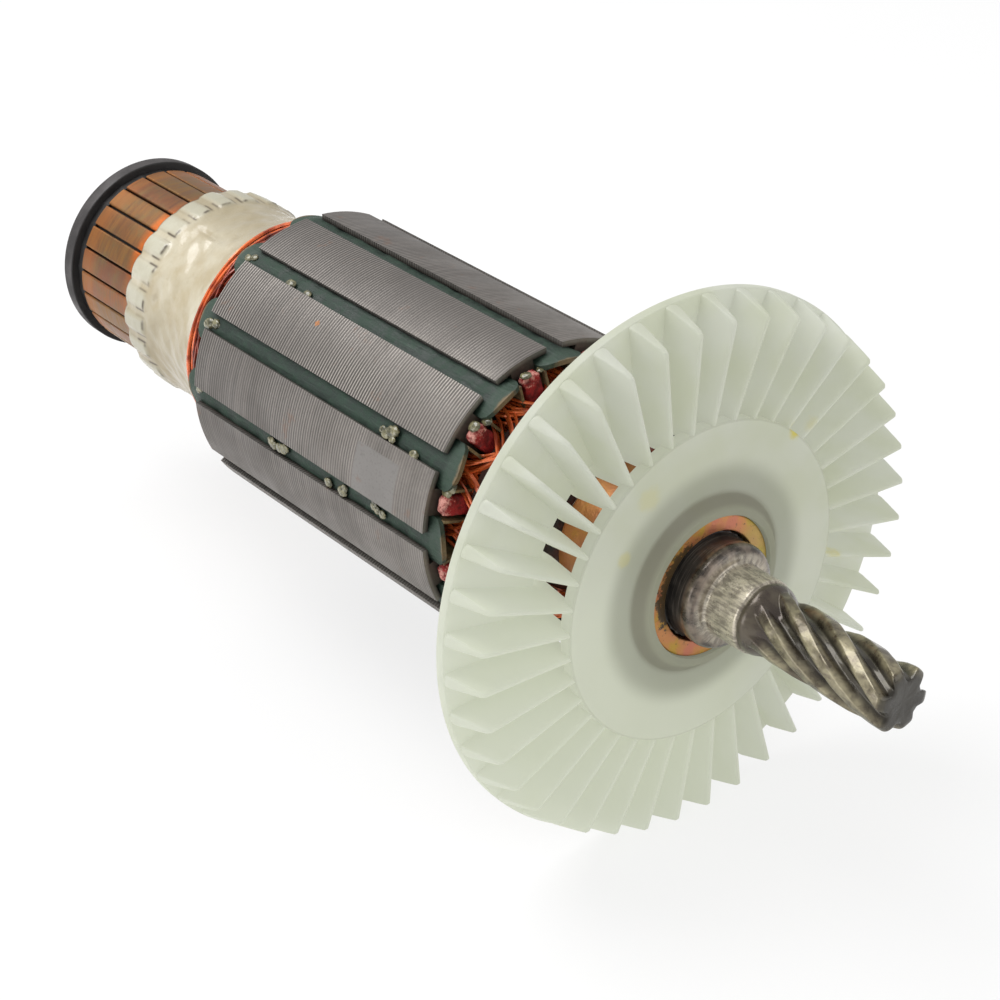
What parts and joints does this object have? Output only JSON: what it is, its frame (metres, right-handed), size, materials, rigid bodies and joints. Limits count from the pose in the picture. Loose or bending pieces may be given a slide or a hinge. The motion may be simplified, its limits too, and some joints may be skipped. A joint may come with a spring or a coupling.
{
  "type": "motor armature",
  "caption": "Wound armature with slotted laminated core, hooked commutator, resin-covered leads, bladed cooling fan and a helical pinion on its shaft.",
  "frame": {"origin": "on the shaft axis, at the shoulder that the front bearing's inner ring rests against", "axes": "+X along the shaft towards the pinion; one slot of the core is centred on +Y; +Z completes the right-handed frame"},
  "size_m": [0.1455, 0.0596, 0.0596],
  "materials": {
    "shaft_steel": "machined steel, oiled",
    "lamination_steel": "stamped electrical steel, thin varnish",
    "slot_paper": "aramid paper",
    "wedge_fibre": "green vulcanised fibre, matt",
    "end_fibre": "red vulcanised fibre, matt",
    "copper_wire": "enamelled copper wire, varnished",
    "bar_copper": "worn bare copper",
    "black_moulding": "moulded phenolic",
    "black_ring": "moulded, matt black",
    "cream_cement": "cured resin, glossy",
    "zinc_bush": "yellow passivated zinc",
    "fan_nylon": "natural translucent nylon",
    "sleeve_nylon": "moulded plastic"
  },
  "bodies": {
    "root": {"shaft": "shaft_steel", "insulating_sleeve": "sleeve_nylon", "lamination_stack": "lamination_steel", "slot_liners": "slot_paper", "front_end_insulator": "end_fibre", "rear_end_insulator": "end_fibre", "armature_winding": "copper_wire", "commutator_core": "black_moulding", "lead_cement": "cream_cement", "end_ring": "black_ring", "fan_bush": "zinc_bush", "fan": "fan_nylon", "slot_wedge_01": "wedge_fibre", "slot_wedge_02": "wedge_fibre", "slot_wedge_03": "wedge_fibre", "slot_wedge_04": "wedge_fibre", "slot_wedge_05": "wedge_fibre", "slot_wedge_06": "wedge_fibre", "slot_wedge_07": "wedge_fibre", "slot_wedge_08": "wedge_fibre", "slot_wedge_09": "wedge_fibre", "slot_wedge_10": "wedge_fibre", "slot_wedge_11": "wedge_fibre", "slot_wedge_12": "wedge_fibre", "commutator_bar_01": "bar_copper", "commutator_bar_02": "bar_copper", "commutator_bar_03": "bar_copper", "commutator_bar_04": "bar_copper", "commutator_bar_05": "bar_copper", "commutator_bar_06": "bar_copper", "commutator_bar_07": "bar_copper", "commutator_bar_08": "bar_copper", "commutator_bar_09": "bar_copper", "commutator_bar_10": "bar_copper", "commutator_bar_11": "bar_copper", "commutator_bar_12": "bar_copper", "commutator_bar_13": "bar_copper", "commutator_bar_14": "bar_copper", "commutator_bar_15": "bar_copper", "commutator_bar_16": "bar_copper", "commutator_bar_17": "bar_copper", "commutator_bar_18": "bar_copper", "commutator_bar_19": "bar_copper", "commutator_bar_20": "bar_copper", "commutator_bar_21": "bar_copper", "commutator_bar_22": "bar_copper", "commutator_bar_23": "bar_copper", "commutator_bar_24": "bar_copper"}
  },
  "joints": []
}
